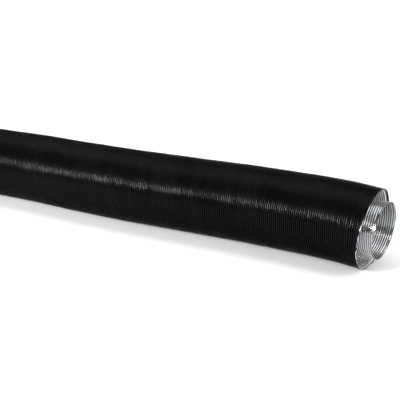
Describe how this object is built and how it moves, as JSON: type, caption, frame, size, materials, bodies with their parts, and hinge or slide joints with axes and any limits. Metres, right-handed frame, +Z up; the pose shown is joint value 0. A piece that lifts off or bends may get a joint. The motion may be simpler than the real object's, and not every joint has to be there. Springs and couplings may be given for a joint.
{
  "type": "coaxial flexible air duct",
  "caption": "Bendable air duct: a corrugated black outer duct, foil-lined, round a bare aluminium inner duct on centring spacers, cut open at both ends.",
  "frame": {"origin": "on the surface that the duct lies on, below the middle of the duct's box", "axes": "+X runs along the duct from its far end to its near, open end; +Z is up"},
  "size_m": [0.553, 0.0894, 0.083],
  "materials": {
    "outer_black": "satin black film, finely corrugated",
    "outer_foil": "dull bare foil, finely corrugated",
    "inner_foil": "bright bare foil, finely corrugated",
    "spacer_steel": "plain spring steel"
  },
  "bodies": {
    "section_01": {"outer_jacket_01": "outer_black", "outer_liner_01": "outer_foil", "inner_duct_01": "inner_foil"},
    "section_02": {"outer_jacket_02": "outer_black", "outer_liner_02": "outer_foil", "inner_duct_02": "inner_foil"},
    "section_03": {"outer_jacket_03": "outer_black", "outer_liner_03": "outer_foil", "inner_duct_03": "inner_foil", "centring_spacer_03": "spacer_steel"},
    "section_04": {"outer_jacket_04": "outer_black", "outer_liner_04": "outer_foil", "inner_duct_04": "inner_foil"},
    "section_05": {"outer_jacket_05": "outer_black", "outer_liner_05": "outer_foil", "inner_duct_05": "inner_foil"},
    "section_06": {"outer_jacket_06": "outer_black", "outer_liner_06": "outer_foil", "inner_duct_06": "inner_foil"},
    "section_07": {"outer_jacket_07": "outer_black", "outer_liner_07": "outer_foil", "inner_duct_07": "inner_foil"},
    "section_08": {"outer_jacket_08": "outer_black", "outer_liner_08": "outer_foil", "inner_duct_08": "inner_foil", "centring_spacer_08": "spacer_steel"},
    "section_09": {"outer_jacket_09": "outer_black", "outer_liner_09": "outer_foil", "inner_duct_09": "inner_foil"},
    "section_10": {"outer_jacket_10": "outer_black", "outer_liner_10": "outer_foil", "inner_duct_10": "inner_foil"},
    "section_11": {"outer_jacket_11": "outer_black", "outer_liner_11": "outer_foil", "inner_duct_11": "inner_foil"},
    "section_12": {"outer_jacket_12": "outer_black", "outer_liner_12": "outer_foil", "inner_duct_12": "inner_foil"},
    "section_13": {"outer_jacket_13": "outer_black", "outer_liner_13": "outer_foil", "inner_duct_13": "inner_foil", "centring_spacer_13": "spacer_steel"},
    "section_14": {"outer_jacket_14": "outer_black", "outer_liner_14": "outer_foil", "inner_duct_14": "inner_foil"},
    "section_15": {"outer_jacket_15": "outer_black", "outer_liner_15": "outer_foil", "inner_duct_15": "inner_foil"},
    "section_16": {"outer_jacket_16": "outer_black", "outer_liner_16": "outer_foil", "inner_duct_16": "inner_foil"},
    "inner_far_end": {"inner_far_end": "inner_foil"},
    "inner_near_end": {"inner_near_end": "inner_foil"}
  },
  "joints": [
    {"name": "bend_sideways_01", "type": "hinge", "parent": "section_01", "child": "section_02", "pos_m": [-0.23113, -0.00082, 0.0415], "axis": [0, 0, 1], "range_deg": [-18, 18]},
    {"name": "bend_upward_02", "type": "hinge", "parent": "section_02", "child": "section_03", "pos_m": [-0.19815, 0.0003, 0.0415], "axis": [0.0164, -0.9999, 0], "range_deg": [-18, 18]},
    {"name": "bend_sideways_03", "type": "hinge", "parent": "section_03", "child": "section_04", "pos_m": [-0.16515, 0.00026, 0.0415], "axis": [0, 0, 1], "range_deg": [-18, 18]},
    {"name": "stretch_04", "type": "slide", "parent": "section_04", "child": "section_05", "axis": [0.9992, -0.0396, 0], "range_m": [-0.003, 0.008]},
    {"name": "bend_upward_05", "type": "hinge", "parent": "section_05", "child": "section_06", "pos_m": [-0.0992, -0.00236, 0.0415], "axis": [-0.0331, -0.9995, 0], "range_deg": [-18, 18]},
    {"name": "bend_sideways_06", "type": "hinge", "parent": "section_06", "child": "section_07", "pos_m": [-0.06621, -0.00311, 0.0415], "axis": [0, 0, 1], "range_deg": [-18, 18]},
    {"name": "bend_upward_07", "type": "hinge", "parent": "section_07", "child": "section_08", "pos_m": [-0.03321, -0.0032, 0.0415], "axis": [0.0076, -1, 0], "range_deg": [-18, 18]},
    {"name": "bend_sideways_08", "type": "hinge", "parent": "section_08", "child": "section_09", "pos_m": [-0.00022, -0.00261, 0.0415], "axis": [0, 0, 1], "range_deg": [-18, 18]},
    {"name": "stretch_09", "type": "slide", "parent": "section_09", "child": "section_10", "axis": [0.9988, 0.0483, 0], "range_m": [-0.003, 0.008]},
    {"name": "bend_upward_10", "type": "hinge", "parent": "section_10", "child": "section_11", "pos_m": [0.0657, 0.00058, 0.0415], "axis": [0.0563, -0.9984, 0], "range_deg": [-18, 18]},
    {"name": "bend_sideways_11", "type": "hinge", "parent": "section_11", "child": "section_12", "pos_m": [0.09866, 0.00237, 0.0415], "axis": [0, 0, 1], "range_deg": [-18, 18]},
    {"name": "bend_upward_12", "type": "hinge", "parent": "section_12", "child": "section_13", "pos_m": [0.13164, 0.0032, 0.0415], "axis": [0.0105, -0.9999, 0], "range_deg": [-18, 18]},
    {"name": "bend_sideways_13", "type": "hinge", "parent": "section_13", "child": "section_14", "pos_m": [0.16464, 0.00306, 0.0415], "axis": [0, 0, 1], "range_deg": [-18, 18]},
    {"name": "stretch_14", "type": "slide", "parent": "section_14", "child": "section_15", "axis": [0.9989, -0.0476, 0], "range_m": [-0.003, 0.008]},
    {"name": "bend_upward_15", "type": "hinge", "parent": "section_15", "child": "section_16", "pos_m": [0.23056, -0.00008, 0.0415], "axis": [-0.0767, -0.9971, 0], "range_deg": [-18, 18]},
    {"name": "inner_duct_slide_near", "type": "slide", "parent": "section_16", "child": "inner_near_end", "axis": [0.9958, -0.0911, 0], "range_m": [-0.009, 0.009]},
    {"name": "inner_duct_slide_far", "type": "slide", "parent": "section_01", "child": "inner_far_end", "axis": [0.9976, 0.0687, 0], "range_m": [-0.009, 0.009]}
  ],
  "couplings": [
    {"joint": "bend_sideways_03", "follows": "bend_sideways_01", "ratio": 1},
    {"joint": "bend_upward_05", "follows": "bend_upward_02", "ratio": 1},
    {"joint": "stretch_04", "follows": "stretch_09", "ratio": 1},
    {"joint": "stretch_14", "follows": "stretch_09", "ratio": 1},
    {"joint": "bend_sideways_08", "follows": "bend_sideways_06", "ratio": 1},
    {"joint": "bend_upward_10", "follows": "bend_upward_07", "ratio": 1},
    {"joint": "bend_sideways_13", "follows": "bend_sideways_11", "ratio": 1},
    {"joint": "bend_upward_15", "follows": "bend_upward_12", "ratio": 1},
    {"joint": "inner_duct_slide_far", "follows": "inner_duct_slide_near", "ratio": 1}
  ]
}
